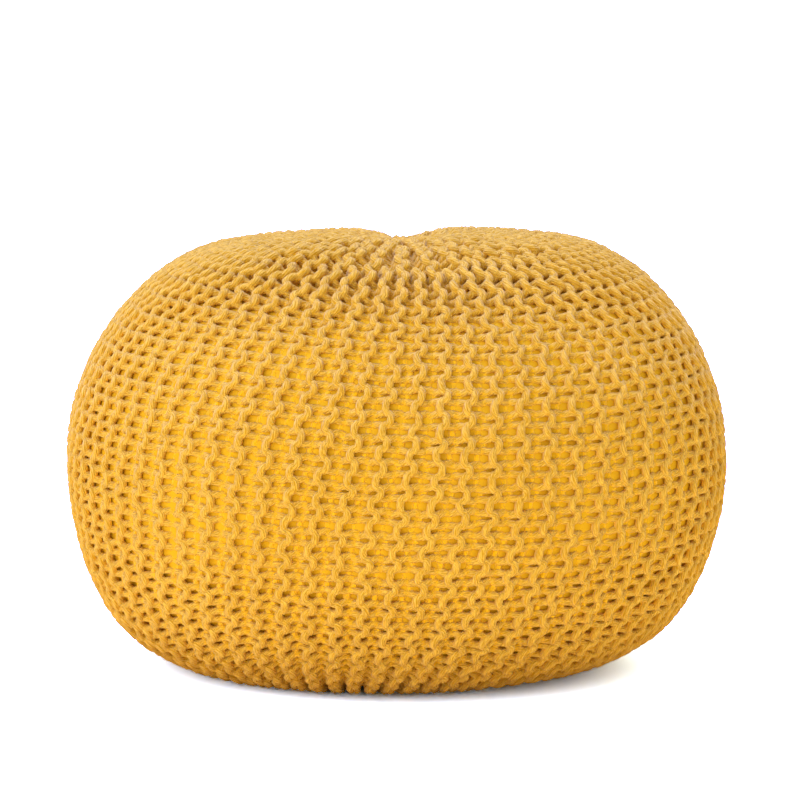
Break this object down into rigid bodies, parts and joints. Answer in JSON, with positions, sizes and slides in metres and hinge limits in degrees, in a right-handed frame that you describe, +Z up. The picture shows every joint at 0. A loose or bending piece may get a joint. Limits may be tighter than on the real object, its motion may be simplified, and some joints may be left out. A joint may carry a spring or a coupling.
{
  "type": "round pouf ottoman",
  "caption": "Round knitted pouf ottoman: a filled inner bag inside a ridged garter-stitch cover, for use as a low seat or a footrest.",
  "frame": {"origin": "on the floor under the middle of the pouf", "axes": "+Z up, -Y towards the viewer of the picture, +X to the right in it"},
  "size_m": [0.5072, 0.5072, 0.3361],
  "materials": {
    "cotton_cord": "soft matt hand-knitted cotton cord, mustard yellow",
    "bag_cloth": "plain woven cotton, bright golden yellow"
  },
  "bodies": {
    "root": {"knit_cover": "cotton_cord", "liner_bag": "bag_cloth"}
  },
  "joints": []
}
